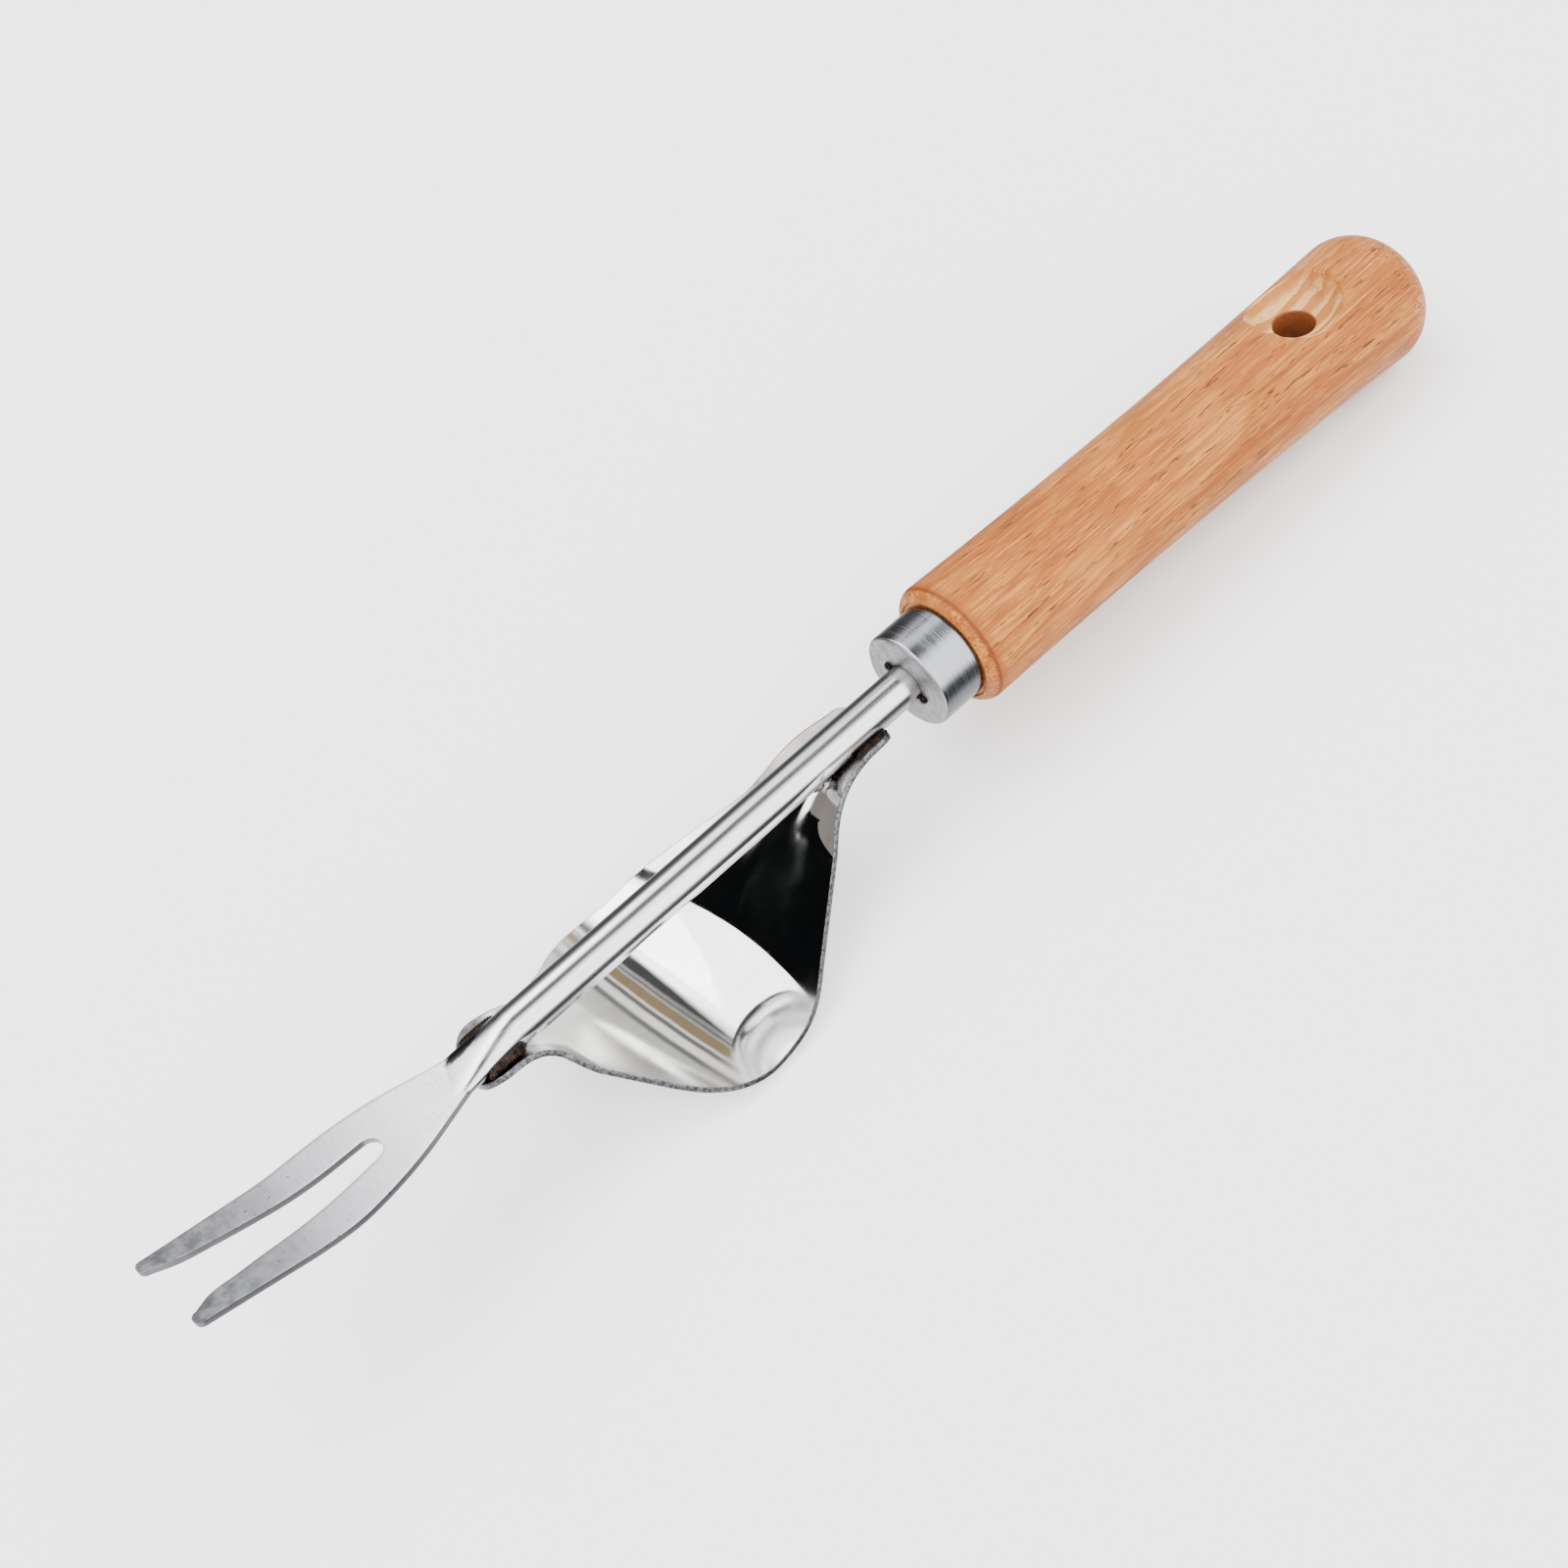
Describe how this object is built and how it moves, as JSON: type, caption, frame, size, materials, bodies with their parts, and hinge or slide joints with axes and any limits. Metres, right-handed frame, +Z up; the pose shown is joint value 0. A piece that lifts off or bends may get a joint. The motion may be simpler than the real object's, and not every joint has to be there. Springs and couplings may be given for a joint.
{
  "type": "hand weeding fork",
  "caption": "Hand weeding fork with two flat tines on a steel tube, a bent fulcrum plate welded under the shank and a turned wooden handle with a hang hole.",
  "frame": {"origin": "centre of the bounding box at the surface the tool lies on", "axes": "+X towards the handle's butt, +Z up from the surface that the fulcrum plate and the butt rest on, +Y to the left"},
  "size_m": [0.3296, 0.0574, 0.0388],
  "materials": {
    "brushed_stainless": "fine brushed stainless steel",
    "polished_stainless": "mirror polished stainless steel",
    "satin_stainless": "satin drawn stainless steel",
    "turned_wood": "turned hardwood with a thin clear finish",
    "adhesive": "hardened adhesive",
    "weld_metal": "heat tinted weld metal"
  },
  "bodies": {
    "root": {"fork_shank": "brushed_stainless", "fulcrum_plate": "polished_stainless", "ferrule_cup": "satin_stainless", "handle_grip": "turned_wood", "shank_bond": "adhesive", "weld_front_left": "weld_metal", "weld_front_right": "weld_metal", "weld_rear_left": "weld_metal", "weld_rear_right": "weld_metal", "tack_weld_left": "weld_metal", "tack_weld_right": "weld_metal"}
  },
  "joints": []
}
